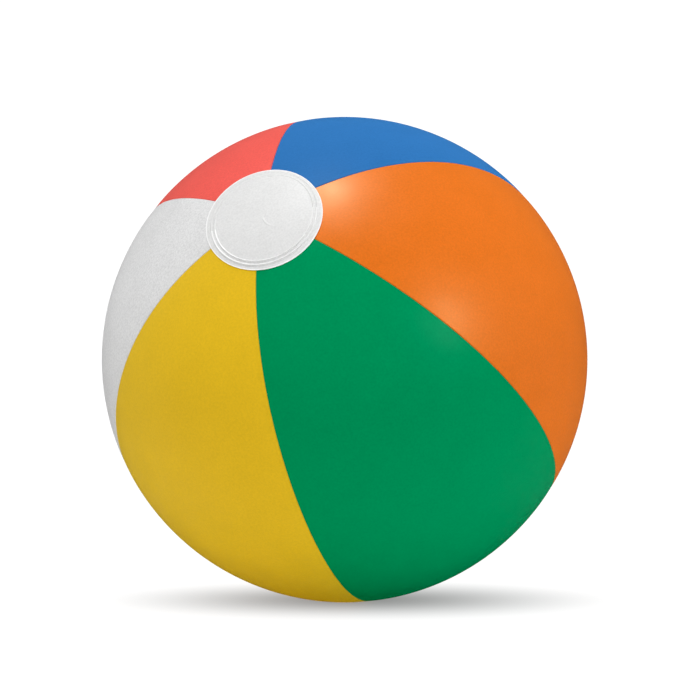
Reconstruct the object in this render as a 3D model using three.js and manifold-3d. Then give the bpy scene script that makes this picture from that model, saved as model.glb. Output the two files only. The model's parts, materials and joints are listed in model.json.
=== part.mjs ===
// Inflatable six-panel beach ball, resting on the floor.
// Millimetres, +Z up. The origin is on the floor, under the centre of the ball.
//
// The ball is drawn in its own frame, whose +z is the front pole, and the whole frame is
// then turned to the way the ball lies. Latitudes are given as angles from the front pole.
import * as THREE from "three";
import { mergeVertices } from "three/addons/utils/BufferGeometryUtils.js";
import Module from "manifold-3d";

const wasm = await Module();
wasm.setup();

// Driving dimensions
const BALL_RADIUS = 120;
const FILM = 0.25;
const CLEARANCE = 0.3;
const SETTLE_DEPTH = 0.6;
const POLE_TILT = 53.3;
const POLE_HEADING = -112.7;

// Panels: how far each starts round the front pole, and how far that seam bows sideways
const PANELS = [
  { name: "white", color: 0xe2e2e2, seamAzimuth: 249.8, seamBow: -2.2 },
  { name: "yellow", color: 0xd1ac27, seamAzimuth: 306, seamBow: 3.5 },
  { name: "green", color: 0x008b54, seamAzimuth: 365.8, seamBow: 5.5 },
  { name: "orange", color: 0xe9782a, seamAzimuth: 427.9, seamBow: 2.35 },
  { name: "blue", color: 0x377cc1, seamAzimuth: 489.3, seamBow: 4 },
  { name: "red", color: 0xf16359, seamAzimuth: 548.3, seamBow: 5.8 },
];
const PANEL_TIP_ANGLE = 9.5;
const PANEL_ROWS = 24;
const PANEL_COLUMNS = 8;

// Welded seam allowances, which stand inwards from the panels' edges
const SEAM_DEPTH = 4;
const SEAM_THICKNESS = 2 * FILM;

// End discs: nearly round, a little oval, and reaching a little further to one side
const DISC_ANGLE = 13.6;
const DISC_OVALITY = 0.046;
const DISC_LONG_AXIS_AZIMUTH = 52;
const DISC_LEAN = 0.018;
const DISC_LEAN_AZIMUTH = -28;
const DISC_UNDERSIDE = BALL_RADIUS + CLEARANCE;
const DISC_TOP = DISC_UNDERSIDE + FILM;
const DISC_RINGS = 4;
const DISC_SEGMENTS = 36;
const FILM_ROUGHNESS = 0.5;
const DISC_COLOR = 0xececec;

// Valve, in heights above the ball's surface at the back pole
const FLANGE_BORE_RADIUS = 8.4;
const FLANGE_RIM_RADIUS = 10;
const FLANGE_RIM_TOP = 0.45;
const FLANGE_OUTER_RADIUS = 17;
const FLANGE_THICKNESS = 0.8;
const FLANGE_RINGS = 3;
const DISC_HOLE_RADIUS = 10.4;
const VALVE_SEGMENTS = 30;
const CURVE_SEGMENTS = 8;
const VALVE_COLOR = 0xf0f0ec;
const VALVE_ROUGHNESS = 0.35;
const BOOT_TOP = { radius: 7.8, height: -0.8 };
const BOOT_FOOT = { radius: 5.15, height: -7 };
const BOOT_THICKNESS = 0.6;
const STEM_RADIUS = 4.5;
const STEM_BORE_RADIUS = 3.2;
const STEM_TOP = 0.3;
const STEM_FOOT = -12;
const LIP_RADIUS = 5.4;
const LIP_THICKNESS = 1.2;
const FLAP_THICKNESS = 0.6;
const FLAP_HINGE_EDGE = -4.2;
const FLAP_HINGE_WIDTH = 3.2;
const FLAP_RADIUS = 4;

// Plug and its tether, both on the stem's mouth
const PLUG_HEAD_RADIUS = 4.7;
const PLUG_HEAD_THICKNESS = 1.4;
const PLUG_HEAD_CHAMFER = 0.5;
const PLUG_SHANK_LENGTH = 3;
const PLUG_SHANK_TOP_RADIUS = 2.7;
const PLUG_SHANK_END_RADIUS = 2;
const PLUG_TAB_REACH = 7.6;
const PLUG_TAB_WIDTH = 4;
const PLUG_TAB_THICKNESS = 0.8;
const PLUG_TAB_RISE = 0.1;
const TETHER_WIDTH = 2.6;
const TETHER_THICKNESS = 0.8;
const TETHER_BEND_CENTRE = -6.05;
const TETHER_LEG_INSET = 0.3;

const PLUG_UNDERSIDE = STEM_TOP + CLEARANCE;
const MERGE_DISTANCE = 1e-4;

const radians = THREE.MathUtils.degToRad;
const degrees = THREE.MathUtils.radToDeg;
const lerp = THREE.MathUtils.lerp;

// A point on a sphere about the ball's centre, from its angles in degrees
function onBall(radius, poleAngle, azimuth) {
  const height = radius * Math.cos(radians(poleAngle));
  const reach = radius * Math.sin(radians(poleAngle));
  const turn = radians(azimuth);
  return new THREE.Vector3(reach * Math.cos(turn), reach * Math.sin(turn), height);
}

// The way down to the floor, in the ball's frame
const floorward = onBall(1, 180 - POLE_TILT, 0);

// The ball's weight flattens the film where it meets the floor
function settle(point, radius) {
  const excess = point.dot(floorward) - (radius - SETTLE_DEPTH);
  return excess > 0 ? point.addScaledVector(floorward, -excess) : point;
}

// How many degrees round the pole a sideways distance is, at this distance from the pole
function degreesAcross(distance, radius, poleAngle) {
  return degrees(distance / (radius * Math.sin(radians(poleAngle))));
}

// A seam bows most at the equator
function seamAzimuthAt(seam, poleAngle) {
  return seam.azimuth + seam.bow * Math.sin(radians(poleAngle));
}

function seamBefore(index) {
  const turns = Math.floor(index / PANELS.length);
  const panel = PANELS[index % PANELS.length];
  return { azimuth: panel.seamAzimuth + 360 * turns, bow: panel.seamBow };
}

function panelRowAngle(row) {
  return lerp(PANEL_TIP_ANGLE, 180 - PANEL_TIP_ANGLE, row / PANEL_ROWS);
}

// A closed sheet between an outer and an inner grid of points, with its four edges filled in
function closedSheet(outer, inner) {
  const rows = outer.length;
  const columns = outer[0].length;
  const points = [...outer.flat(), ...inner.flat()];
  const innerStart = rows * columns;
  const at = (row, column) => row * columns + column;
  const triangles = [];

  for (let row = 0; row < rows - 1; row += 1) {
    for (let column = 0; column < columns - 1; column += 1) {
      const a = at(row, column);
      const b = at(row + 1, column);
      const c = at(row + 1, column + 1);
      const d = at(row, column + 1);
      triangles.push(a, b, c, a, c, d);
      triangles.push(innerStart + a, innerStart + c, innerStart + b);
      triangles.push(innerStart + a, innerStart + d, innerStart + c);
    }
  }

  const border = [];
  for (let row = 0; row < rows - 1; row += 1) {
    border.push(at(row, 0));
  }
  for (let column = 0; column < columns - 1; column += 1) {
    border.push(at(rows - 1, column));
  }
  for (let row = rows - 1; row > 0; row -= 1) {
    border.push(at(row, columns - 1));
  }
  for (let column = columns - 1; column > 0; column -= 1) {
    border.push(at(0, column));
  }
  border.forEach((from, step) => {
    const to = border[(step + 1) % border.length];
    triangles.push(to, from, innerStart + from);
    triangles.push(to, innerStart + from, innerStart + to);
  });

  const geometry = new THREE.BufferGeometry().setFromPoints(points);
  geometry.setIndex(triangles);
  return geometry;
}

// One gore of film, from seam to seam and from tip to tip
function gorePanel(index) {
  const outer = [];
  const inner = [];
  for (let row = 0; row <= PANEL_ROWS; row += 1) {
    const poleAngle = panelRowAngle(row);
    const edgeGap = degreesAcross(CLEARANCE / 2, BALL_RADIUS, poleAngle);
    const start = seamAzimuthAt(seamBefore(index), poleAngle) + edgeGap;
    const end = seamAzimuthAt(seamBefore(index + 1), poleAngle) - edgeGap;
    const innerRadius = BALL_RADIUS - FILM;
    outer.push([]);
    inner.push([]);
    for (let column = 0; column <= PANEL_COLUMNS; column += 1) {
      const azimuth = lerp(start, end, column / PANEL_COLUMNS);
      outer[row].push(settle(onBall(BALL_RADIUS, poleAngle, azimuth), BALL_RADIUS));
      inner[row].push(settle(onBall(innerRadius, poleAngle, azimuth), innerRadius));
    }
  }
  return closedSheet(outer, inner);
}

// The two panels' edges, welded face to face into one strip that stands inwards
function seamFin(index) {
  const seam = seamBefore(index);
  const topRadius = BALL_RADIUS - FILM - CLEARANCE;
  const footRadius = topRadius - SEAM_DEPTH;
  const stripRow = (radius, poleAngle) => {
    const half = degreesAcross(SEAM_THICKNESS / 2, radius, poleAngle);
    const middle = seamAzimuthAt(seam, poleAngle);
    return [onBall(radius, poleAngle, middle - half), onBall(radius, poleAngle, middle + half)];
  };
  const top = [];
  const foot = [];
  for (let row = 0; row <= PANEL_ROWS; row += 1) {
    top.push(stripRow(topRadius, panelRowAngle(row)));
    foot.push(stripRow(footRadius, panelRowAngle(row)));
  }
  return closedSheet(top, foot);
}

// A solid of revolution about z. The profile runs anticlockwise, as [radius, height] pairs.
function turned(profile, segments) {
  const points = profile.map(([radius, height]) => new THREE.Vector2(radius, height));
  return new THREE.LatheGeometry(points, segments).rotateX(Math.PI / 2);
}

// Profile points along an arc about the ball's centre, evenly spaced between two angles
function arcProfile(radius, fromAngle, toAngle, steps) {
  const points = [];
  for (let step = 0; step <= steps; step += 1) {
    const angle = radians(lerp(fromAngle, toAngle, step / steps));
    points.push([radius * Math.sin(angle), radius * Math.cos(angle)]);
  }
  return points;
}

// Stretches a disc's round outline into its own slightly uneven one, leaving its middle round
function unevenOutline(geometry) {
  const positions = geometry.getAttribute("position");
  const point = new THREE.Vector3();
  for (let i = 0; i < positions.count; i += 1) {
    point.fromBufferAttribute(positions, i);
    const radius = point.length();
    const poleAngle = degrees(Math.acos(Math.min(1, point.z / radius)));
    const azimuth = degrees(Math.atan2(point.y, point.x));
    const oval = DISC_OVALITY * Math.cos(2 * radians(azimuth - DISC_LONG_AXIS_AZIMUTH));
    const lean = DISC_LEAN * Math.cos(radians(azimuth - DISC_LEAN_AZIMUTH));
    const stretched = poleAngle * (1 + (oval + lean) * (poleAngle / DISC_ANGLE) ** 2);
    positions.setXYZ(i, ...onBall(radius, stretched, azimuth).toArray());
  }
  return geometry;
}

function frontEndDisc() {
  const underside = arcProfile(DISC_UNDERSIDE, 0, DISC_ANGLE, DISC_RINGS);
  const top = arcProfile(DISC_TOP, DISC_ANGLE, 0, DISC_RINGS);
  return unevenOutline(turned([...underside, ...top], DISC_SEGMENTS));
}

function backEndDisc() {
  const holeAngle = degrees(Math.asin(DISC_HOLE_RADIUS / BALL_RADIUS));
  const underside = arcProfile(DISC_UNDERSIDE, holeAngle, DISC_ANGLE, DISC_RINGS);
  const top = arcProfile(DISC_TOP, DISC_ANGLE, holeAngle, DISC_RINGS);
  return unevenOutline(turned([...underside, ...top, underside[0]], DISC_SEGMENTS));
}

// Profile points given as heights above the ball's surface, moved out to the surface
function fromSurface(profile) {
  return profile.map(([radius, height]) => [radius, BALL_RADIUS + height]);
}

// A ring welded under the back disc, with a raised rim in the disc's hole
function valveFlange() {
  const angleOf = (radius) => degrees(Math.asin(radius / BALL_RADIUS));
  const boreAngle = angleOf(FLANGE_BORE_RADIUS);
  const rimAngle = angleOf(FLANGE_RIM_RADIUS);
  const outerAngle = angleOf(FLANGE_OUTER_RADIUS);
  const undersideRadius = BALL_RADIUS - FLANGE_THICKNESS;
  const underside = arcProfile(undersideRadius, boreAngle, outerAngle, FLANGE_RINGS);
  const top = arcProfile(BALL_RADIUS, outerAngle, rimAngle, FLANGE_RINGS);
  const rim = fromSurface([
    [FLANGE_RIM_RADIUS, FLANGE_RIM_TOP],
    [underside[0][0], FLANGE_RIM_TOP],
  ]);
  return turned([...underside, ...top, ...rim, underside[0]], VALVE_SEGMENTS);
}

// The soft wall between flange and stem: a thin cone that folds in or out with the stem
function valveBoot() {
  const run = BOOT_TOP.radius - BOOT_FOOT.radius;
  const drop = BOOT_TOP.height - BOOT_FOOT.height;
  const length = Math.hypot(run, drop);
  const across = (BOOT_THICKNESS / 2) * (drop / length);
  const down = (BOOT_THICKNESS / 2) * (run / length);
  return turned(fromSurface([
    [BOOT_FOOT.radius - across, BOOT_FOOT.height + down],
    [BOOT_FOOT.radius + across, BOOT_FOOT.height - down],
    [BOOT_TOP.radius + across, BOOT_TOP.height - down],
    [BOOT_TOP.radius - across, BOOT_TOP.height + down],
    [BOOT_FOOT.radius - across, BOOT_FOOT.height + down],
  ]), VALVE_SEGMENTS);
}

function valveStem() {
  const lipUnderside = STEM_TOP - LIP_THICKNESS;
  return turned(fromSurface([
    [STEM_BORE_RADIUS, STEM_FOOT],
    [STEM_RADIUS, STEM_FOOT],
    [STEM_RADIUS, lipUnderside],
    [LIP_RADIUS, lipUnderside],
    [LIP_RADIUS, STEM_TOP],
    [STEM_BORE_RADIUS, STEM_TOP],
    [STEM_BORE_RADIUS, STEM_FOOT],
  ]), VALVE_SEGMENTS);
}

// A flat piece: an outline in the x-y plane, given thickness upwards from a height
function plate(outline, thickness, height) {
  const geometry = new THREE.ExtrudeGeometry(outline, {
    depth: thickness,
    bevelEnabled: false,
    curveSegments: CURVE_SEGMENTS,
  });
  return geometry.translate(0, 0, BALL_RADIUS + height);
}

// A thin disc across the stem's inner end, hung on a straight edge at one side
function checkFlap() {
  const outline = new THREE.Shape();
  const startAngle = Math.PI - Math.asin(FLAP_HINGE_WIDTH / 2 / FLAP_RADIUS);
  outline.moveTo(FLAP_HINGE_EDGE, FLAP_HINGE_WIDTH / 2);
  outline.lineTo(FLAP_HINGE_EDGE, -FLAP_HINGE_WIDTH / 2);
  outline.absarc(0, 0, FLAP_RADIUS, -startAngle, startAngle, false);
  return plate(outline, FLAP_THICKNESS, STEM_FOOT - CLEARANCE - FLAP_THICKNESS);
}

// Turns a geometry into a solid that can be cut and joined
function solid(geometry) {
  const bare = geometry.clone();
  bare.deleteAttribute("normal");
  bare.deleteAttribute("uv");
  const merged = mergeVertices(bare, MERGE_DISTANCE);
  return new wasm.Manifold(new wasm.Mesh({
    numProp: 3,
    vertProperties: new Float32Array(merged.getAttribute("position").array),
    triVerts: new Uint32Array(merged.getIndex().array),
  }));
}

function geometryOf(manifold) {
  const mesh = manifold.getMesh();
  const geometry = new THREE.BufferGeometry();
  geometry.setAttribute("position", new THREE.BufferAttribute(mesh.vertProperties, 3));
  geometry.setIndex(new THREE.BufferAttribute(mesh.triVerts, 1));
  return geometry;
}

// The plug: a chamfered head with a tapered shank below it and a pull tab at its side
function valvePlug() {
  const headTop = PLUG_UNDERSIDE + PLUG_HEAD_THICKNESS;
  const turnedBody = turned(fromSurface([
    [0, PLUG_UNDERSIDE - PLUG_SHANK_LENGTH],
    [PLUG_SHANK_END_RADIUS, PLUG_UNDERSIDE - PLUG_SHANK_LENGTH],
    [PLUG_SHANK_TOP_RADIUS, PLUG_UNDERSIDE],
    [PLUG_HEAD_RADIUS, PLUG_UNDERSIDE],
    [PLUG_HEAD_RADIUS, headTop - PLUG_HEAD_CHAMFER],
    [PLUG_HEAD_RADIUS - PLUG_HEAD_CHAMFER, headTop],
    [0, headTop],
  ]), VALVE_SEGMENTS);

  const tabOutline = new THREE.Shape();
  const tabEndCentre = PLUG_TAB_REACH - PLUG_TAB_WIDTH / 2;
  tabOutline.moveTo(0, -PLUG_TAB_WIDTH / 2);
  tabOutline.absarc(tabEndCentre, 0, PLUG_TAB_WIDTH / 2, -Math.PI / 2, Math.PI / 2, false);
  tabOutline.lineTo(0, PLUG_TAB_WIDTH / 2);
  const tab = plate(tabOutline, PLUG_TAB_THICKNESS, PLUG_UNDERSIDE + PLUG_TAB_RISE);
  return geometryOf(solid(turnedBody).add(solid(tab)));
}

// A strap bent into a U beside the stem, from the lip's edge round to the plug's head
function plugTether() {
  const stemLeg = STEM_TOP - TETHER_LEG_INSET - TETHER_THICKNESS;
  const plugLeg = PLUG_UNDERSIDE + TETHER_LEG_INSET + TETHER_THICKNESS;
  const bendCentre = (stemLeg + plugLeg) / 2;
  const outerRadius = (plugLeg - stemLeg) / 2;
  const innerRadius = outerRadius - TETHER_THICKNESS;
  const outline = new THREE.Shape();
  outline.moveTo(-LIP_RADIUS - CLEARANCE, plugLeg);
  outline.lineTo(TETHER_BEND_CENTRE, plugLeg);
  outline.absarc(TETHER_BEND_CENTRE, bendCentre, outerRadius, Math.PI / 2, -Math.PI / 2, false);
  outline.lineTo(-LIP_RADIUS - CLEARANCE, stemLeg);
  outline.lineTo(-LIP_RADIUS - CLEARANCE, stemLeg + TETHER_THICKNESS);
  outline.lineTo(TETHER_BEND_CENTRE, stemLeg + TETHER_THICKNESS);
  outline.absarc(TETHER_BEND_CENTRE, bendCentre, innerRadius, -Math.PI / 2, Math.PI / 2, true);
  outline.lineTo(-PLUG_HEAD_RADIUS - CLEARANCE, plugLeg - TETHER_THICKNESS);
  outline.lineTo(-PLUG_HEAD_RADIUS - CLEARANCE, plugLeg);
  const strap = new THREE.ExtrudeGeometry(outline, {
    depth: TETHER_WIDTH,
    bevelEnabled: false,
    curveSegments: CURVE_SEGMENTS,
  });
  return strap.translate(0, 0, -TETHER_WIDTH / 2).rotateX(Math.PI / 2)
    .translate(0, 0, BALL_RADIUS);
}

function piece(name, geometry, color, roughness) {
  const material = new THREE.MeshStandardMaterial({ color, roughness, metalness: 0 });
  const mesh = new THREE.Mesh(geometry, material);
  mesh.name = name;
  return mesh;
}

const beachBall = new THREE.Group();

const ballFrame = new THREE.Group();
ballFrame.position.z = BALL_RADIUS - SETTLE_DEPTH;
ballFrame.rotation.set(0, radians(POLE_TILT), radians(POLE_HEADING), "ZYX");
beachBall.add(ballFrame);

PANELS.forEach((panel, index) => {
  const previous = PANELS[(index + PANELS.length - 1) % PANELS.length];
  const seamName = `seam_${previous.name}_${panel.name}`;
  ballFrame.add(piece(`panel_${panel.name}`, gorePanel(index), panel.color, FILM_ROUGHNESS));
  ballFrame.add(piece(seamName, seamFin(index), panel.color, FILM_ROUGHNESS));
});
ballFrame.add(piece("front_end_disc", frontEndDisc(), DISC_COLOR, FILM_ROUGHNESS));

// The valve's frame: +z out of the ball at the back pole, -x down towards the floor
const backPole = new THREE.Group();
backPole.rotation.y = Math.PI;
ballFrame.add(backPole);

backPole.add(piece("back_end_disc", backEndDisc(), DISC_COLOR, FILM_ROUGHNESS));
backPole.add(piece("valve_flange", valveFlange(), VALVE_COLOR, VALVE_ROUGHNESS));
backPole.add(piece("valve_boot", valveBoot(), VALVE_COLOR, VALVE_ROUGHNESS));
backPole.add(piece("valve_stem", valveStem(), VALVE_COLOR, VALVE_ROUGHNESS));
backPole.add(piece("check_flap", checkFlap(), VALVE_COLOR, VALVE_ROUGHNESS));
backPole.add(piece("valve_plug", valvePlug(), VALVE_COLOR, VALVE_ROUGHNESS));
backPole.add(piece("plug_tether", plugTether(), VALVE_COLOR, VALVE_ROUGHNESS));

export default beachBall;
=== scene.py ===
"""An inflated six-panel beach ball on a pale floor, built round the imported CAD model."""
import json
import math
import bpy
import numpy as np
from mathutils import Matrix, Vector


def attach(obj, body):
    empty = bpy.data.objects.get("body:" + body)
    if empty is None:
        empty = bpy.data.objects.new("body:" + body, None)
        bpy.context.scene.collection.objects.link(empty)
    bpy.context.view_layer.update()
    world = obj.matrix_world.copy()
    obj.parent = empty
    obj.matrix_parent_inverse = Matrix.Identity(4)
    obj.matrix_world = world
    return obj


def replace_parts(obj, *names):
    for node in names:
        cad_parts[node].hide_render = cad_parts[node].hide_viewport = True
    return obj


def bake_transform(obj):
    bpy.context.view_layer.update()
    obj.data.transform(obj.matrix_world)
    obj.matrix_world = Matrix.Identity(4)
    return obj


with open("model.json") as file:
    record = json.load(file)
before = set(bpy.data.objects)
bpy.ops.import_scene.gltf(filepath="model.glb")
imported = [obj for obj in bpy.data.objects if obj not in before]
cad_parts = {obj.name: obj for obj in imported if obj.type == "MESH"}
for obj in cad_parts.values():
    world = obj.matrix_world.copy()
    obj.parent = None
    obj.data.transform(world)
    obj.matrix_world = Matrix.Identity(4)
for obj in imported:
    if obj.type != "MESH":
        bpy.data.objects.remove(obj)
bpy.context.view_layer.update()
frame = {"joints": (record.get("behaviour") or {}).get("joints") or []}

MM = 0.001
BALL_RADIUS = 120 * MM
SETTLE_DEPTH = 0.6 * MM
FILM = 0.25 * MM
BALL_CENTRE = Vector((0, 0, BALL_RADIUS - SETTLE_DEPTH))

# Each panel's first seam, in degrees round the front pole from its lowest side, and how far it
# bows sideways, then its film's colour, how strong the grain is and how strongly it shines
PANELS = {
    "white": {"seam": 249.8, "bow": -2.2, "color": (0.765, 0.765, 0.765), "grain": 0.10, "shine": 0.2},
    "yellow": {"seam": 306, "bow": 3.5, "color": (0.815, 0.545, 0.0255), "grain": 0.045, "shine": 0.2},
    "green": {"seam": 365.8, "bow": 5.5, "color": (0.003, 0.318, 0.114), "grain": 0.06, "shine": 0.12},
    "orange": {"seam": 427.9, "bow": 2.35, "color": (0.805, 0.188, 0.013), "grain": 0.06, "shine": 0.5},
    "blue": {"seam": 489.3, "bow": 4, "color": (0.037, 0.185, 0.480), "grain": 0.04, "shine": 0.02},
    "red": {"seam": 548.3, "bow": 5.8, "color": (0.875, 0.124, 0.101), "grain": 0.06, "shine": 0.2},
}
PANEL_NAMES = list(PANELS)
TIP_ANGLE = 9.5
SEAM_END_ANGLE = TIP_ANGLE + 2
PANEL_ROWS = 112

# The film turns inwards at each seam, round a small radius, into the welded strip
ROLL_RADIUS = 0.36 * MM
ROLL_STEPS = 5
SEAM_HALF_GAP = 0.03 * MM
ROLL_TAIL = 0.16 * MM
NEAR_SEAM_MM = [0.3, 0.8, 1.6, 2.8, 4.4, 6.4]
INNER_COLUMNS = 28

SEAM_VALLEY_DEPTH = 0.12 * MM
SEAM_VALLEY_WIDTH = 5 * MM
PUCKER_HEIGHT = 0.018 * MM
PUCKER_WIDTH = 4.5 * MM
PUCKER_LENGTHS_MM = [5.3, 7.9, 12.7]
PUCKER_PHASE = 1.7
PUCKER_PHASE_STEP = 0.9

# The welded strip inside the ball
STRIP_TOP = BALL_RADIUS - 0.5 * MM
STRIP_DEPTH = 4 * MM
STRIP_LEVELS = 5
STRIP_HALF = 0.25 * MM

# End discs. Their directions are in degrees round the pole, as the panels' are
DISC_ANGLE = 13.6
DISC_RADIUS = math.radians(DISC_ANGLE) * BALL_RADIUS
DISC_OVALITY = 0.046
DISC_LONG_AXIS = 52
DISC_LEAN = 0.018
DISC_LEAN_WAY = -28
DISC_FILM = 0.26 * MM
DISC_LIFT = 0.02 * MM
DISC_SEGMENTS = 300
DISC_MIDDLE = 0.05 * MM
DISC_PLAIN_STEP = 0.25 * MM
DISC_FINE_STEP = 0.1 * MM
DISC_FINE_WIDTH = 6.2 * MM
DISC_UNDER_RINGS = 14
DISC_EDGE_ROUNDING = 0.1 * MM
DISC_EDGE_STEPS = 4
DISC_EDGE_RISE = 0.12 * MM
DISC_EDGE_WIDTH = 0.55 * MM
BEAD_RADII = [26.05 * MM, 24.2 * MM]
BEAD_OVALITY = 0.038
BEAD_LONG_AXIS = 40
BEAD_HEIGHT = 0.60 * MM
BEAD_WIDTH = 0.27 * MM
BEAD_STRONG_WAY = 15
BEAD_FADE = 0.8
# Beads pressed more strongly than this get the painted highlight up their inner side
BEAD_HIGHLIGHT_STRENGTH = 0.62
GROOVE_DEPTH = 0.12 * MM
GROOVE_OFFSET = 0.8 * MM
PILLOW_HEIGHT = 0.1 * MM
SEAM_END_HEIGHT = 0.04 * MM
SEAM_END_WIDTH = 0.5 * MM
SEAM_END_SOFTNESS = 0.6 * MM
CREASE_CENTRE = (-0.75 * MM, 7.7 * MM)
CREASE_RADIUS = 7.2 * MM
CREASE_WIDTH = 0.35 * MM
CREASE_HEIGHT = 0.25 * MM
CREASE_MIDDLE = -38
CREASE_REACH = 34
NICK_RADIUS = 23.56 * MM
NICK_AZIMUTH = 188.3
NICK_WIDTH = 0.4 * MM
NICK_LENGTH = 1.0 * MM
NICK_DEPTH = 0.5 * MM
VALVE_HOLE = 10.4 * MM
VALVE_WELDS = [12.6 * MM, 15.4 * MM]
VALVE_WELD_HEIGHT = 0.12 * MM

# The valve, in millimetres: distances from its axis, and heights above the ball's surface
TURN_SEGMENTS = 128
ROUNDING_STEPS = 4
ROUNDING_SHARE = 0.45
CORNER_ROUNDING = 0.22
FLANGE_INNER = 8.4
FLANGE_OUTER = 17
FLANGE_THICKNESS = 0.8
FLANGE_RINGS = 8
LIP_RADIUS = 10
LIP_HEIGHT = 0.42
LIP_SLOPE = 0.05
LIP_INSET = 0.02
BOOT_TOP = (8.25, -0.35)
BOOT_BOTTOM = (4.7, -7.4)
BOOT_HALF_WALL = 0.27
BOOT_SWAY = 0.06
BOOT_STRAIGHTNESS = 0.25
BOOT_BLEND = (-0.8, -7)
BOOT_STEPS = 32
STEM_PROFILE = [
    (3.2, -12), (4.5, -12), (4.5, -8.1), (4.85, -7.9), (4.85, -6.9), (4.5, -6.7),
    (4.5, -0.9), (5.4, -0.9), (5.4, 0.3), (3.2, 0.3),
]
FLAP_RADIUS = 4
FLAP_HINGE = -3.85
FLAP_BOTTOM = -12.9
FLAP_TOP = -12.3
FLAP_EDGE = 0.15
FLAP_POINTS = 90
PLUG_PROFILE = [
    (0.05, 1.72), (2.6, 1.76), (3.1, 2.0), (4.2, 2.0), (4.7, 1.5), (4.7, 0.62),
    (2.72, 0.62), (2.62, -0.7), (2.95, -1.0), (2.95, -1.35), (2.4, -1.8), (2.1, -2.38),
    (0.05, -2.38),
]
PLUG_ROUNDING = 0.2
TAB_START = 2
TAB_END = 5.6
TAB_HALF_WIDTH = 2
TAB_BOTTOM = 0.7
TAB_TOP = 1.5
TAB_EDGE = 0.2
TAB_POINTS = 40
STRAP_WIDTH = 2.6
STRAP_THICKNESS = 0.78
STRAP_ROUNDING = 0.3
STRAP_ROOT = -4.9
STRAP_BEND_START = -5.9
STRAP_BEND = (-6.05, 0.45)
STRAP_BEND_RADIUS = 0.85
STRAP_BEND_POINTS = 25
STRAP_LOW_POINTS = 5
STRAP_HIGH_POINTS = 7
STRAP_TIP = -4.2
STRAP_BLEND = 1.7

# The films' look
GRAIN_SIZE = 0.9 * MM
GRAIN_DEPTH = 0.02 * MM
CLOUD_SIZE = 14 * MM
CLOUD_CONTRAST = 0.015
UNDULATION_SIZE = 22 * MM
UNDULATION_DEPTH = 0.16 * MM
NOISE_LOW = 0.3
NOISE_HIGH = 0.7
FILM_ROUGHNESS = 0.42
ROUGHNESS_SPREAD = 0.03
DIFFUSE_ROUGHNESS = 0.7
GLOSS_TINTING = 0.26
VINYL_IOR = 1.5
DISC_COLOR = (0.77, 0.77, 0.766)
DISC_GRAIN = 0.05
# A paler colour on the disc's cut edge and bead slopes, as a painted highlight
PAINTED_HIGHLIGHT_COLOR = (0.92, 0.92, 0.92)
SMOOTH_GRAIN = 0.01
DISC_SHINE = 0.12
VALVE_COLOR = (0.82, 0.82, 0.80)
VALVE_ROUGHNESS = 0.36
VALVE_SHINE = 0.5
VALVE_GLOW = 0.3
GLOW_DEPTH = 0.6 * MM
GLOW_TINT = (1.0, 0.9, 0.8)

# The studio
CAMERA_DISTANCE = 8 * BALL_RADIUS
CAMERA_ELEVATION = math.radians(4)
CAMERA_LENS = 99.13
CAMERA_SHIFT = (0.0076, 0.0138)
BACKGROUND_WHITE = 1.1

# The even light of the room, and the share of it and of the floor's white that is kept from
# the camera and from reflections
AMBIENT = 0.70
GLOSS_DIMMING = 0.92

# The faint haze of an all-white room, which is taken off the picture's blacks
BLACK_LEVEL = 0.0095

# The way to each lamp as seen from the camera (right, up, towards it), its distance, size and
# power, and whether it is a gleam that the film only mirrors or a fill that it doesn't mirror
LAMPS = {
    "overhead_gleam": ((-0.13, 0.97, 0.15), 1.2, 0.3, 11.0, True),
    "side_gleam": ((0.70, 0.26, 0.67), 1.3, 0.2, 5.2, True),
    "overhead_fill": ((-0.07, 0.95, 0.28), 1.2, 0.24, 6.3, False),
    "side_fill": ((0.66, 0.27, 0.70), 1.3, 0.4, 1.9, False),
    "right_fill": ((0.95, 0.15, 0.25), 1.4, 1.0, 1.7, False),
    "front_fill": ((0.0, 0.1, 0.99), 1.6, 1.2, 0.3, False),
    "left_rim": ((-0.75, 0.55, -0.35), 1.4, 1.0, 0.9, False),
    "right_rim": ((0.92, 0.02, -0.32), 1.4, 0.3, 1.9, False),
}

FLOOR_HALF_SIDE = 4.0
FLOOR_DROP = 0.05 * MM
FLOOR_WHITE = 0.75

# The floor's own light, which grows with the distance from the ball's foot: each line is where
# a ramp starts or ends, and how strong it is there. The bounce lights the ball, and the glow is
# what the camera sees; its dim oval round the ball's foot is a painted shadow over the real one
FLOOR_BOUNCE_NEAR = (0, 0.46)
FLOOR_BOUNCE_FAR = (0.15, 0.15)
PAINTED_SHADOW_CENTRE = (7 * MM, -7 * MM, 0)
PAINTED_SHADOW_STRETCH = (1, 2.5, 0)
PAINTED_SHADOW_GLOW_NEAR = (0, 0.29)
PAINTED_SHADOW_GLOW_FAR = (0.148, 1.02)


# ---------------------------------------------------------------- places

pull = next(j for j in frame["joints"] if j["name"] == "valve_pull")
valve_axis = Vector(pull["axis"]).normalized()
front_pole = -valve_axis
down = Vector((0, 0, -1))
pole_x = (down - front_pole * down.dot(front_pole)).normalized()
pole_y = front_pole.cross(pole_x)
FRONT_AXES = np.array([pole_x, pole_y, front_pole])
BACK_AXES = np.array([-pole_x, pole_y, valve_axis])


def in_axes(x, y, z, axes):
    """Points in one of the two pole frames, moved to the row frame."""
    return np.stack(np.broadcast_arrays(x, y, z), axis=-1) @ axes + np.array(BALL_CENTRE)


def on_ball(radius, pole_angle, azimuth, axes=FRONT_AXES):
    """Points about the ball's centre, from angles in degrees at one of its poles."""
    a, b = np.radians(pole_angle), np.radians(azimuth)
    ring = np.sin(a) * radius
    return in_axes(ring * np.cos(b), ring * np.sin(b), np.cos(a) * radius, axes)


def at_valve(x, y, height):
    """Points of the valve, by their height above the ball's surface at the back pole."""
    return in_axes(x, y, BALL_RADIUS + np.asarray(height, float), BACK_AXES)


def settle(points):
    """The ball's weight flattens it where it meets the floor."""
    points[..., 2] = np.maximum(points[..., 2], 0)
    return points


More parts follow.
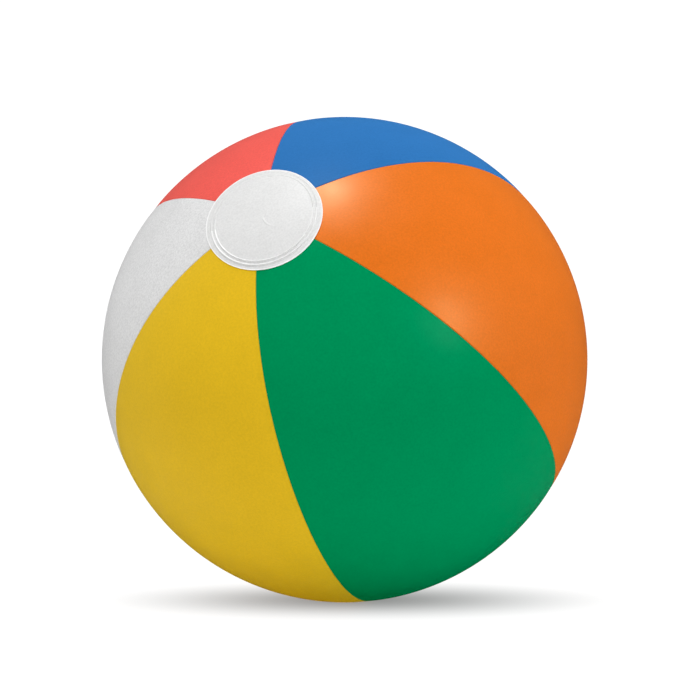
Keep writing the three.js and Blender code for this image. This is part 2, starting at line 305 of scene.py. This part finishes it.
def seam_azimuth(index, pole_angle):
    """Where a panel's first seam runs at this distance from the front pole."""
    turns, place = divmod(index, len(PANELS))
    panel = PANELS[PANEL_NAMES[place]]
    return panel["seam"] + 360 * turns + panel["bow"] * np.sin(np.radians(pole_angle))


# ---------------------------------------------------------------- mesh helpers

def mesh_object(name, points, faces):
    """A smooth-shaded object in the scene, from points in metres."""
    mesh = bpy.data.meshes.new(name)
    mesh.from_pydata(np.asarray(points).tolist(), [], faces)
    mesh.polygons.foreach_set("use_smooth", [True] * len(mesh.polygons))
    mesh.validate()
    obj = bpy.data.objects.new(name, mesh)
    bpy.context.scene.collection.objects.link(obj)
    return obj


def grid_faces(rows, columns, wrap_rows=False, wrap_columns=False):
    """The four-sided faces between the points of a grid, numbered row by row."""
    faces = []
    for i in range(rows if wrap_rows else rows - 1):
        for j in range(columns if wrap_columns else columns - 1):
            a, b = i * columns, ((i + 1) % rows) * columns
            k = (j + 1) % columns
            faces.append((a + j, b + j, b + k, a + k))
    return faces


def loft(name, rings, closed):
    """A solid from a stack of closed rings. If it isn't closed on itself, its ends are capped."""
    rows, columns = rings.shape[:2]
    faces = grid_faces(rows, columns, wrap_rows=closed, wrap_columns=True)
    if not closed:
        faces.append(tuple(range(columns)))
        faces.append(tuple(range(rows * columns - 1, (rows - 1) * columns - 1, -1)))
    return mesh_object(name, rings.reshape(-1, 3), faces)


def rounded(corners, cut):
    """A closed outline with its corners rounded off, by less than half of any side."""
    outline = []
    for i, corner in enumerate(corners):
        corner = np.array(corner, float)
        cuts = []
        for other in (corners[i - 1], corners[(i + 1) % len(corners)]):
            side = np.array(other, float) - corner
            length = np.linalg.norm(side)
            cuts.append(corner + side / length * min(cut, ROUNDING_SHARE * length))
        for t in np.linspace(0, 1, ROUNDING_STEPS + 1):
            outline.append(cuts[0] * (1 - t) ** 2 + corner * 2 * t * (1 - t) + cuts[1] * t ** 2)
    return np.array(outline)


def turned(name, outline, closed=True):
    """A solid of revolution about the valve's axis, from radius and height pairs in mm."""
    outline = np.asarray(outline) * MM
    turn = np.linspace(0, 2 * math.pi, TURN_SEGMENTS, endpoint=False)
    radius, height = outline[:, :1], outline[:, 1:]
    rings = at_valve(radius * np.cos(turn), radius * np.sin(turn), height + 0 * turn)
    return loft(name, rings, closed)


def strap(name, path, width, thickness, rounding):
    """A flat strap along a path of x and height pairs in mm, level across the valve."""
    path = np.asarray(path)
    along = np.gradient(path, axis=0)
    along /= np.linalg.norm(along, axis=1)[:, None]
    across = np.stack([-along[:, 1], along[:, 0]], axis=1)
    half, side = thickness / 2, width / 2
    section = rounded([(-half, -side), (half, -side), (half, side), (-half, side)], rounding)
    x = (path[:, :1] + across[:, :1] * section[:, 0]) * MM
    height = (path[:, 1:] + across[:, 1:] * section[:, 0]) * MM
    y = np.broadcast_to(section[:, 1] * MM, x.shape)
    return loft(name, at_valve(x, y, height), closed=False)


def plate(name, outline, low, high, edge):
    """A flat plate with rounded edges, from an outline in the valve's own plane, in mm."""
    outline = np.asarray(outline, float)
    ahead = np.roll(outline, -1, axis=0) - np.roll(outline, 1, axis=0)
    inward = np.stack([-ahead[:, 1], ahead[:, 0]], axis=1)
    inward /= np.linalg.norm(inward, axis=1)[:, None]
    quarter = np.linspace(0, math.pi / 2, ROUNDING_STEPS + 1)
    insets = edge * np.concatenate([1 - np.sin(quarter), 1 - np.cos(quarter)])
    levels = np.concatenate([
        low + edge * (1 - np.cos(quarter)),
        high - edge * (1 - np.sin(quarter)),
    ])
    rings = [outline + inward * inset for inset in insets]
    points = [at_valve(r[:, 0] * MM, r[:, 1] * MM, level * MM) for r, level in zip(rings, levels)]
    return loft(name, np.array(points), closed=False)


def joined(base, extra):
    """One mesh from two overlapping solids."""
    cut = base.modifiers.new("join", "BOOLEAN")
    cut.operation = "UNION"
    cut.object = extra
    cut.solver = "EXACT"
    depsgraph = bpy.context.evaluated_depsgraph_get()
    base.data = bpy.data.meshes.new_from_object(base.evaluated_get(depsgraph))
    base.modifiers.clear()
    bpy.data.objects.remove(extra)
    return base


# ---------------------------------------------------------------- panels and seams

def pucker(index, along):
    """A fine waviness along one seam, the same on both of its panels."""
    waves = [
        math.sqrt(length) * np.sin(
            along / (length * MM) * 2 * math.pi + (PUCKER_PHASE + PUCKER_PHASE_STEP * k) * index
        )
        for k, length in enumerate(PUCKER_LENGTHS_MM)
    ]
    return sum(waves) / sum(math.sqrt(length) for length in PUCKER_LENGTHS_MM)


def panel_section(width):
    """Distances from the first seam across a panel, and depths below the ball's surface."""
    turn = np.linspace(math.pi / 2, 0, ROLL_STEPS + 1)
    distance = SEAM_HALF_GAP + ROLL_RADIUS * (1 - np.sin(turn))
    depth = ROLL_RADIUS * (1 - np.cos(turn))
    near = SEAM_HALF_GAP + ROLL_RADIUS + np.array(NEAR_SEAM_MM) * MM
    edge = np.concatenate([[SEAM_HALF_GAP], distance, near])
    edge_depth = np.concatenate([[ROLL_RADIUS + ROLL_TAIL], depth, np.zeros(len(near))])
    middle = np.linspace(edge[-1], width - edge[-1], INNER_COLUMNS + 2)[1:-1]
    across = np.concatenate([edge, middle, width - edge[::-1]])
    depths = np.concatenate([edge_depth, np.zeros(len(middle)), edge_depth[::-1]])
    return across, depths


def build_panel(index, name):
    """One panel's film, from its first seam to the next and from tip to tip."""
    rows = []
    for pole_angle in np.linspace(TIP_ANGLE, 180 - TIP_ANGLE, PANEL_ROWS):
        ring = BALL_RADIUS * math.sin(math.radians(pole_angle))
        start, end = seam_azimuth(index, pole_angle), seam_azimuth(index + 1, pole_angle)
        width = math.radians(end - start) * ring
        across, depths = panel_section(width)
        along = math.radians(pole_angle) * BALL_RADIUS
        from_end = width - across
        valley = np.exp(-((across / SEAM_VALLEY_WIDTH) ** 2))
        valley += np.exp(-((from_end / SEAM_VALLEY_WIDTH) ** 2))
        ripple = pucker(index, along) * np.exp(-((across / PUCKER_WIDTH) ** 2))
        other = (index + 1) % len(PANELS)
        ripple += pucker(other, along) * np.exp(-((from_end / PUCKER_WIDTH) ** 2))
        radius = BALL_RADIUS - depths - SEAM_VALLEY_DEPTH * valley + PUCKER_HEIGHT * ripple
        rows.append(settle(on_ball(radius, pole_angle, start + np.degrees(across / ring))))
    points = np.array(rows)
    obj = mesh_object(f"film_{name}", points.reshape(-1, 3), grid_faces(*points.shape[:2]))
    shell = obj.modifiers.new("film thickness", "SOLIDIFY")
    shell.thickness = FILM
    shell.offset = -1
    obj.data.materials.append(film_materials[name])
    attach(obj, "ball")
    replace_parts(obj, f"panel_{name}")


def build_seam(index, name):
    """The edges of two neighbouring panels, welded face to face, each in its own colour."""
    previous = PANEL_NAMES[index - 1]
    levels = STRIP_TOP - np.linspace(0, STRIP_DEPTH, STRIP_LEVELS)
    loop = np.concatenate([levels, levels[::-1]])
    sides = np.repeat([-STRIP_HALF, STRIP_HALF], STRIP_LEVELS)
    rings = []
    for pole_angle in np.linspace(TIP_ANGLE, 180 - TIP_ANGLE, PANEL_ROWS):
        offset = np.degrees(sides / (loop * math.sin(math.radians(pole_angle))))
        rings.append(on_ball(loop, pole_angle, seam_azimuth(index, pole_angle) + offset))
    obj = loft(f"weld_{previous}_{name}", np.array(rings), closed=False)
    columns = len(loop)
    for polygon in obj.data.polygons:
        polygon.material_index = int(polygon.index % columns >= STRIP_LEVELS)
    obj.data.materials.append(film_materials[previous])
    obj.data.materials.append(film_materials[name])
    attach(obj, "ball")
    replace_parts(obj, f"seam_{previous}_{name}")


# ---------------------------------------------------------------- end discs

def disc_stretch(distance, azimuth):
    """The disc's outline is slightly oval and leans to one side, and its middle is round."""
    oval = DISC_OVALITY * np.cos(2 * np.radians(azimuth - DISC_LONG_AXIS))
    lean = DISC_LEAN * np.cos(np.radians(azimuth - DISC_LEAN_WAY))
    return distance * (1 + (oval + lean) * (distance / DISC_RADIUS) ** 2)


def bump(distance, width):
    """A smooth ridge of height 1."""
    return np.exp(-((distance / width) ** 2))


def bead_strength(azimuth):
    """The beads are pressed deepest on one side of the disc and fade towards the other."""
    return 1 - BEAD_FADE * (1 - np.cos(np.radians(azimuth - BEAD_STRONG_WAY))) / 2


def past_beads(distance, azimuth):
    """How far outside each weld bead's crest a place is."""
    oval = BEAD_OVALITY * np.cos(2 * np.radians(azimuth - BEAD_LONG_AXIS))
    return [disc_stretch(distance, azimuth) - radius * (1 + oval) for radius in BEAD_RADII]


def disc_top(distance, azimuth, seams, welds):
    """How high the disc's outer face stands above the ball, at nominal distances from its pole."""
    from_edge = DISC_RADIUS - distance
    height = DISC_LIFT + DISC_FILM + DISC_EDGE_RISE * bump(from_edge, BEAD_WIDTH)
    for outwards in past_beads(distance, azimuth):
        bead = BEAD_HEIGHT * bump(outwards, BEAD_WIDTH)
        groove = GROOVE_DEPTH * bump(outwards - GROOVE_OFFSET, BEAD_WIDTH)
        height = height + (bead - groove) * bead_strength(azimuth)
    for weld in welds:
        height = height + VALVE_WELD_HEIGHT * bump(distance - weld, BEAD_WIDTH)
    tips = math.radians(TIP_ANGLE) * BALL_RADIUS
    height = height + PILLOW_HEIGHT * np.clip(1 - (distance / tips) ** 2, 0, 1) ** 2
    over_tips = 1 / (1 + np.exp(-(distance - tips) / SEAM_END_SOFTNESS))
    for seam in seams:
        sideways = np.radians((azimuth - seam + 180) % 360 - 180) * distance
        height = height + SEAM_END_HEIGHT * over_tips * bump(sideways, SEAM_END_WIDTH)
    return height


def disc_marks(distance, azimuth):
    """A short curved crease near the front disc's middle, and a nick over one seam's end."""
    a = np.radians(azimuth)
    x = distance * np.cos(a) - CREASE_CENTRE[0]
    y = distance * np.sin(a) - CREASE_CENTRE[1]
    turn = np.degrees(np.arctan2(y, x)) - CREASE_MIDDLE
    crease = CREASE_HEIGHT * bump(np.hypot(x, y) - CREASE_RADIUS, CREASE_WIDTH)
    crease = crease * bump((turn + 180) % 360 - 180, CREASE_REACH)
    sideways = np.radians((azimuth - NICK_AZIMUTH + 180) % 360 - 180) * distance
    nick = NICK_DEPTH * bump(sideways, NICK_LENGTH) * bump(distance - NICK_RADIUS, NICK_WIDTH)
    return crease - nick


def highlight_paint_places(distance, azimuth):
    """Where the disc gets a painted highlight: a paler colour for the light caught along its cut edge
    and up the inner side of its beads.
    """
    painted_highlight = distance + 0 * azimuth > DISC_RADIUS - DISC_EDGE_WIDTH
    for outwards in past_beads(distance, azimuth):
        on_bead = np.abs(outwards + BEAD_WIDTH) < BEAD_WIDTH
        painted_highlight = painted_highlight | (on_bead & (bead_strength(azimuth) > BEAD_HIGHLIGHT_STRENGTH))
    return painted_highlight


def build_disc(name, axes, seams, hole=None):
    """A disc of film welded over the panels' tips, with a hole in it if a radius is given."""
    start = hole if hole else DISC_MIDDLE
    beads = DISC_RADIUS - DISC_FINE_WIDTH
    plain = np.arange(start, beads, DISC_PLAIN_STEP)
    fine = np.arange(beads, DISC_RADIUS - DISC_EDGE_ROUNDING, DISC_FINE_STEP)
    turn = np.linspace(0, math.pi / 2, DISC_EDGE_STEPS + 1)
    edge = DISC_RADIUS - DISC_EDGE_ROUNDING * (1 - np.sin(turn))
    edge_drop = DISC_EDGE_ROUNDING * (1 - np.cos(turn))
    distance = np.concatenate([plain, fine, edge])[:, None]
    drop = np.concatenate([np.zeros(len(plain) + len(fine)), edge_drop])[:, None]
    azimuth = np.linspace(0, 360, DISC_SEGMENTS, endpoint=False)[None, :]
    welds = VALVE_WELDS if hole else []
    top = disc_top(distance, azimuth, seams, welds) - drop
    if not hole:
        top = top + disc_marks(distance, azimuth)
    under = np.linspace(DISC_RADIUS, start, DISC_UNDER_RINGS)[:, None]
    distance = np.concatenate([distance, under])
    height = np.concatenate([top, np.full((len(under), DISC_SEGMENTS), DISC_LIFT)])
    pole_angle = np.degrees(disc_stretch(distance, azimuth) / BALL_RADIUS)
    rings = on_ball(BALL_RADIUS + height, pole_angle, azimuth, axes)
    obj = loft(name, rings, closed=bool(hole))
    # Faces along the cut edge and up the strong beads' inner side take the paler colour: a painted
    # highlight
    painted_highlight = highlight_paint_places(distance[:len(top)], azimuth).ravel()
    for polygon in obj.data.polygons:
        polygon.material_index = int(polygon.index < painted_highlight.size and painted_highlight[polygon.index])
    obj.data.materials.append(disc_material)
    obj.data.materials.append(highlight_painted_disc_material)
    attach(obj, "ball")
    return obj


def build_discs():
    """Both discs, each with the seams' ends showing through its rim."""
    front = [seam_azimuth(i, SEAM_END_ANGLE) for i in range(len(PANELS))]
    back = [180 - seam_azimuth(i, 180 - SEAM_END_ANGLE) for i in range(len(PANELS))]
    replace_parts(build_disc("end_disc_front", FRONT_AXES, front), "front_end_disc")
    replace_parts(build_disc("end_disc_back", BACK_AXES, back, VALVE_HOLE), "back_end_disc")


# ---------------------------------------------------------------- the valve

def dome_height(radius, level):
    """The height of a sphere's surface at this distance from the valve's axis, in mm."""
    ball = BALL_RADIUS / MM
    return np.sqrt((ball + level) ** 2 - np.asarray(radius, float) ** 2) - ball


def valve_piece(obj, node):
    """Gives a piece of the valve its vinyl and the place of its CAD node."""
    obj.data.materials.append(valve_material)
    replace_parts(obj, node)


def build_flange():
    """The ring that is welded into the back disc, with a low lip round its opening."""
    under_radii = np.linspace(FLANGE_INNER, FLANGE_OUTER, FLANGE_RINGS)
    under = [(r, float(dome_height(r, -FLANGE_THICKNESS))) for r in under_radii]
    over_radii = np.linspace(FLANGE_OUTER, LIP_RADIUS + LIP_SLOPE, FLANGE_RINGS - 1)
    over = [(r, float(dome_height(r, 0))) for r in over_radii]
    lip = [(LIP_RADIUS - LIP_SLOPE, LIP_HEIGHT), (FLANGE_INNER + LIP_INSET, LIP_HEIGHT)]
    obj = turned("valve_ring", rounded(under + over + lip, CORNER_ROUNDING))
    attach(obj, "ball")
    valve_piece(obj, "valve_flange")


def build_boot():
    """The soft wall between flange and stem, kept in one shape; the real one turns inside out as the
    stem moves.
    """
    t = np.linspace(0, 1, BOOT_STEPS + 1)
    inwards = t + BOOT_SWAY * np.sin(2 * math.pi * t)
    downwards = BOOT_STRAIGHTNESS * t + (1 - BOOT_STRAIGHTNESS) * t * t * (3 - 2 * t)
    radius = BOOT_TOP[0] + (BOOT_BOTTOM[0] - BOOT_TOP[0]) * inwards
    height = BOOT_TOP[1] + (BOOT_BOTTOM[1] - BOOT_TOP[1]) * downwards
    centre = np.stack([radius, height], axis=1)
    along = np.gradient(centre, axis=0)
    along /= np.linalg.norm(along, axis=1)[:, None]
    side = np.stack([-along[:, 1], along[:, 0]], axis=1) * BOOT_HALF_WALL
    obj = turned("boot_wall", np.concatenate([centre + side, (centre - side)[::-1]]))
    start, end = (at_valve(0, 0, level * MM) for level in BOOT_BLEND)
    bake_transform(obj)
    valve_piece(obj, "valve_boot")


def build_stem():
    """The tube that is blown into, with a collar under the boot and a lip at its mouth."""
    obj = turned("stem_tube", rounded(STEM_PROFILE, CORNER_ROUNDING))
    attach(obj, "valve")
    valve_piece(obj, "valve_stem")


def build_flap():
    """A round flap over the stem's inner end, cut straight at its hinge."""
    start = math.acos(FLAP_HINGE / FLAP_RADIUS)
    turn = np.linspace(-start, start, FLAP_POINTS)
    outline = np.stack([FLAP_RADIUS * np.cos(turn), FLAP_RADIUS * np.sin(turn)], axis=1)
    obj = plate("one_way_flap", outline, FLAP_BOTTOM, FLAP_TOP, FLAP_EDGE)
    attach(obj, "flap")
    valve_piece(obj, "check_flap")


def build_plug():
    """The plug's head and barbed shank, with a round-ended tab to pull it by."""
    on_axis = ROUNDING_STEPS + 1
    between = rounded(PLUG_PROFILE, PLUG_ROUNDING)[on_axis:-on_axis]
    profile = [PLUG_PROFILE[0], *between, PLUG_PROFILE[-1]]
    head = turned("plug_and_tab", profile, closed=False)
    turn = np.linspace(-math.pi / 2, math.pi / 2, TAB_POINTS)
    round_end = TAB_HALF_WIDTH * np.stack([np.cos(turn), np.sin(turn)], axis=1)
    outline = np.concatenate([
        [(TAB_START, -TAB_HALF_WIDTH)],
        round_end + (TAB_END, 0),
        [(TAB_START, TAB_HALF_WIDTH)],
    ])
    tab = plate("tab", outline, TAB_BOTTOM, TAB_TOP, TAB_EDGE)
    plug = joined(head, tab)
    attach(plug, "plug")
    valve_piece(plug, "valve_plug")


def build_tether():
    """A strap from the stem's lip up and over to the plug's head."""
    bend = np.linspace(-math.pi / 2, math.pi / 2, STRAP_BEND_POINTS)
    x, height = STRAP_BEND
    reach = STRAP_BEND_RADIUS
    lower = np.linspace(STRAP_ROOT, STRAP_BEND_START, STRAP_LOW_POINTS)
    upper = np.linspace(STRAP_BEND_START, STRAP_TIP, STRAP_HIGH_POINTS)
    low = [(at, height - reach) for at in lower]
    arc = [(x - reach * math.cos(a), height + reach * math.sin(a)) for a in bend]
    high = [(at, height + reach) for at in upper]
    obj = strap("plug_strap", low + arc + high, STRAP_WIDTH, STRAP_THICKNESS, STRAP_ROUNDING)
    start = at_valve(0, 0, (height - STRAP_BLEND) * MM)
    end = at_valve(0, 0, (height + STRAP_BLEND) * MM)
    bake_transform(obj)
    valve_piece(obj, "plug_tether")


# ---------------------------------------------------------------- materials

class Nodes:
    """A short way to add and link shader nodes."""

    def __init__(self, tree):
        self.tree = tree
        tree.nodes.clear()

    def add(self, kind, links=None, **settings):
        node = self.tree.nodes.new(kind)
        for key, value in settings.items():
            setattr(node, key, value)
        for key, source in (links or {}).items():
            self.tree.links.new(source, node.inputs[key])
        return node


def noise(nodes, where, size, detail):
    """Noise whose features are about this big, in metres, centred on 0.5."""
    node = nodes.add("ShaderNodeTexNoise", {"Vector": where})
    node.inputs["Scale"].default_value = 1 / size
    node.inputs["Detail"].default_value = detail
    return node.outputs["Fac"]


def spread(nodes, value, low, high):
    """The middle of a noise's range, stretched over low to high."""
    node = nodes.add("ShaderNodeMapRange", {"Value": value})
    node.inputs["From Min"].default_value = NOISE_LOW
    node.inputs["From Max"].default_value = NOISE_HIGH
    node.inputs["To Min"].default_value = low
    node.inputs["To Max"].default_value = high
    return node.outputs["Result"]


def scaled(nodes, color, factor):
    """A colour made lighter or darker by a varying factor."""
    node = nodes.add("ShaderNodeVectorMath", operation="SCALE")
    node.inputs[0].default_value = color
    nodes.tree.links.new(factor, node.inputs["Scale"])
    return node.outputs["Vector"]


def bumped(nodes, height, distance, normal=None):
    """A surface that a varying height, 0 to 1 of this distance, raises on top of any other bump."""
    node = nodes.add("ShaderNodeBump", {"Height": height})
    node.inputs["Strength"].default_value = 1
    node.inputs["Distance"].default_value = distance
    if normal:
        nodes.tree.links.new(normal, node.inputs["Normal"])
    return node.outputs["Normal"]


def gloss_tint(color):
    """The gloss of a pigmented film takes on a little of the film's own colour."""
    strongest = max(color)
    return [(channel / strongest) ** GLOSS_TINTING for channel in color]


def vinyl(name, color, grain, roughness, specular, glow=0.0):
    """Calendered PVC film: a fine matte grain, faint clouding, and slightly uneven gloss."""
    material = bpy.data.materials.new(name)
    material.use_nodes = True
    nodes = Nodes(material.node_tree)
    where = nodes.add("ShaderNodeTexCoord").outputs["Object"]
    fine = noise(nodes, where, GRAIN_SIZE, detail=2)
    cloud = noise(nodes, where, CLOUD_SIZE, detail=4)
    tone = nodes.add("ShaderNodeMath", {
        0: spread(nodes, fine, 1 - grain, 1 + grain),
        1: spread(nodes, cloud, 1 - CLOUD_CONTRAST, 1 + CLOUD_CONTRAST),
    }, operation="MULTIPLY").outputs[0]
    undulation = noise(nodes, where, UNDULATION_SIZE, detail=1)
    normal = bumped(nodes, undulation, UNDULATION_DEPTH)
    normal = bumped(nodes, fine, GRAIN_DEPTH, normal)
    uneven = spread(nodes, cloud, roughness - ROUGHNESS_SPREAD, roughness + ROUGHNESS_SPREAD)
    shader = nodes.add("ShaderNodeBsdfPrincipled", {
        "Base Color": scaled(nodes, color, tone),
        "Roughness": uneven,
        "Normal": normal,
    })
    shader.inputs["IOR"].default_value = VINYL_IOR
    shader.inputs["Specular IOR Level"].default_value = specular
    shader.inputs["Specular Tint"].default_value = (*gloss_tint(color), 1)
    shader.inputs["Diffuse Roughness"].default_value = DIFFUSE_ROUGHNESS
    if glow:
        shader.inputs["Subsurface Weight"].default_value = glow
        shader.inputs["Subsurface Radius"].default_value = GLOW_TINT
        shader.inputs["Subsurface Scale"].default_value = GLOW_DEPTH
    nodes.add("ShaderNodeOutputMaterial", {"Surface": shader.outputs["BSDF"]})
    return material


film_materials = {
    name: vinyl(f"film {name}", panel["color"], panel["grain"], FILM_ROUGHNESS, panel["shine"])
    for name, panel in PANELS.items()
}
disc_material = vinyl("end disc", DISC_COLOR, DISC_GRAIN, FILM_ROUGHNESS, DISC_SHINE)
# The disc's painted highlight: the same vinyl in a paler colour
highlight_painted_disc_material = vinyl(
    "end disc painted highlight", PAINTED_HIGHLIGHT_COLOR, SMOOTH_GRAIN, FILM_ROUGHNESS, DISC_SHINE
)
valve_material = vinyl(
    "valve", VALVE_COLOR, SMOOTH_GRAIN, VALVE_ROUGHNESS, VALVE_SHINE, glow=VALVE_GLOW
)


# ---------------------------------------------------------------- the ball

for index, name in enumerate(PANEL_NAMES):
    build_panel(index, name)
    build_seam(index, name)
build_discs()
build_flange()
build_boot()
build_stem()
build_flap()
build_plug()
build_tether()


# ---------------------------------------------------------------- studio

def look_at(obj, place, target):
    """Puts a camera or lamp at a place and points it at another."""
    obj.location = place
    obj.rotation_mode = "QUATERNION"
    obj.rotation_quaternion = (Vector(place) - Vector(target)).to_track_quat("Z", "Y")


CAMERA_BACK = Vector((0, -math.cos(CAMERA_ELEVATION), math.sin(CAMERA_ELEVATION)))
CAMERA_UP = Vector((0, math.sin(CAMERA_ELEVATION), math.cos(CAMERA_ELEVATION)))


def build_camera():
    camera = bpy.data.objects.new("camera", bpy.data.cameras.new("camera"))
    bpy.context.scene.collection.objects.link(camera)
    look_at(camera, BALL_CENTRE + CAMERA_BACK * CAMERA_DISTANCE, BALL_CENTRE)
    camera.data.lens = CAMERA_LENS
    camera.data.shift_x, camera.data.shift_y = CAMERA_SHIFT
    bpy.context.scene.camera = camera


def build_lamp(name, way, distance, size, power, gleam):
    lamp = bpy.data.objects.new(name, bpy.data.lights.new(name, "AREA"))
    bpy.context.scene.collection.objects.link(lamp)
    lamp.data.shape = "DISK"
    lamp.data.size = size
    lamp.data.energy = power
    lamp.visible_glossy = gleam
    lamp.visible_diffuse = not gleam
    direction = Vector((way[0], 0, 0)) + CAMERA_UP * way[1] + CAMERA_BACK * way[2]
    look_at(lamp, BALL_CENTRE + direction.normalized() * distance, BALL_CENTRE)


def dimmed_in_gloss(nodes, path, strength):
    """A strength that lights the ball in full, but is faint seen directly or in reflections."""
    lighting = path.outputs["Is Diffuse Ray"]
    kept = nodes.add("ShaderNodeMath", {0: lighting}, operation="MULTIPLY_ADD")
    kept.inputs[1].default_value = GLOSS_DIMMING * strength
    kept.inputs[2].default_value = (1 - GLOSS_DIMMING) * strength
    return kept.outputs[0]


def build_world():
    """An even studio light, with a white background behind the ball."""
    world = bpy.data.worlds.new("studio")
    world.use_nodes = True
    bpy.context.scene.world = world
    nodes = Nodes(world.node_tree)
    seen = nodes.add("ShaderNodeBackground")
    seen.inputs["Strength"].default_value = BACKGROUND_WHITE
    seen.inputs["Color"].default_value = (1, 1, 1, 1)
    path = nodes.add("ShaderNodeLightPath")
    light = nodes.add("ShaderNodeBackground", {"Strength": dimmed_in_gloss(nodes, path, AMBIENT)})
    light.inputs["Color"].default_value = (1, 1, 1, 1)
    mix = nodes.add("ShaderNodeMixShader", {
        0: path.outputs["Is Camera Ray"],
        1: light.outputs["Background"],
        2: seen.outputs["Background"],
    })
    nodes.add("ShaderNodeOutputWorld", {"Surface": mix.outputs["Shader"]})


def ramp(nodes, value, near, far):
    """A strength that runs smoothly from one end's (place, strength) to the other's."""
    mapped = nodes.add("ShaderNodeMapRange", {"Value": value}, interpolation_type="SMOOTHSTEP")
    mapped.inputs["From Min"].default_value, mapped.inputs["To Min"].default_value = near
    mapped.inputs["From Max"].default_value, mapped.inputs["To Max"].default_value = far
    return mapped.outputs["Result"]


def build_floor():
    """A white floor lit from beneath like a light table, which can be seen through from below. Its glow
    is dimmed round the ball's foot as a painted shadow.
    """
    side = FLOOR_HALF_SIDE
    corners = [(-side, -side), (side, -side), (side, side), (-side, side)]
    floor = mesh_object("floor", [(x, y, -FLOOR_DROP) for x, y in corners], [(0, 1, 2, 3)])
    material = bpy.data.materials.new("floor")
    material.use_nodes = True
    nodes = Nodes(material.node_tree)
    where = nodes.add("ShaderNodeTexCoord").outputs["Object"]
    path = nodes.add("ShaderNodeLightPath")
    white = scaled(nodes, (1, 1, 1), dimmed_in_gloss(nodes, path, FLOOR_WHITE))
    paper = nodes.add("ShaderNodeBsdfDiffuse", {"Color": white})
    offset = nodes.add("ShaderNodeVectorMath", {0: where}, operation="SUBTRACT")
    offset.inputs[1].default_value = PAINTED_SHADOW_CENTRE
    oval = nodes.add("ShaderNodeVectorMath", {0: offset.outputs["Vector"]}, operation="MULTIPLY")
    oval.inputs[1].default_value = PAINTED_SHADOW_STRETCH
    length = nodes.add("ShaderNodeVectorMath", {0: oval.outputs["Vector"]}, operation="LENGTH")
    away = length.outputs["Value"]
    # Dimmer round the ball's foot: a painted shadow on the floor, on top of the real one
    glow = ramp(nodes, away, PAINTED_SHADOW_GLOW_NEAR, PAINTED_SHADOW_GLOW_FAR)
    bounce = nodes.add("ShaderNodeMath", {
        0: ramp(nodes, away, FLOOR_BOUNCE_NEAR, FLOOR_BOUNCE_FAR),
        1: path.outputs["Is Diffuse Ray"],
    }, operation="MULTIPLY")
    shown = nodes.add("ShaderNodeMath", {
        0: glow,
        1: path.outputs["Is Camera Ray"],
        2: bounce.outputs[0],
    }, operation="MULTIPLY_ADD")
    light = nodes.add("ShaderNodeEmission", {"Strength": shown.outputs[0]})
    lit = nodes.add("ShaderNodeAddShader", {0: paper.outputs["BSDF"], 1: light.outputs[0]})
    mix = nodes.add("ShaderNodeMixShader", {
        0: nodes.add("ShaderNodeNewGeometry").outputs["Backfacing"],
        1: lit.outputs[0],
        2: nodes.add("ShaderNodeBsdfTransparent").outputs["BSDF"],
    })
    nodes.add("ShaderNodeOutputMaterial", {"Surface": mix.outputs["Shader"]})
    floor.data.materials.append(material)


def set_tone():
    """Plain tones, with the faint haze of the all-white studio taken off the blacks."""
    view = bpy.context.scene.view_settings
    view.view_transform = "Standard"
    view.use_curve_mapping = True
    view.curve_mapping.black_level = (BLACK_LEVEL,) * 3
    view.curve_mapping.update()


build_camera()
build_world()
build_floor()
for name, lamp in LAMPS.items():
    build_lamp(name, *lamp)
set_tone()
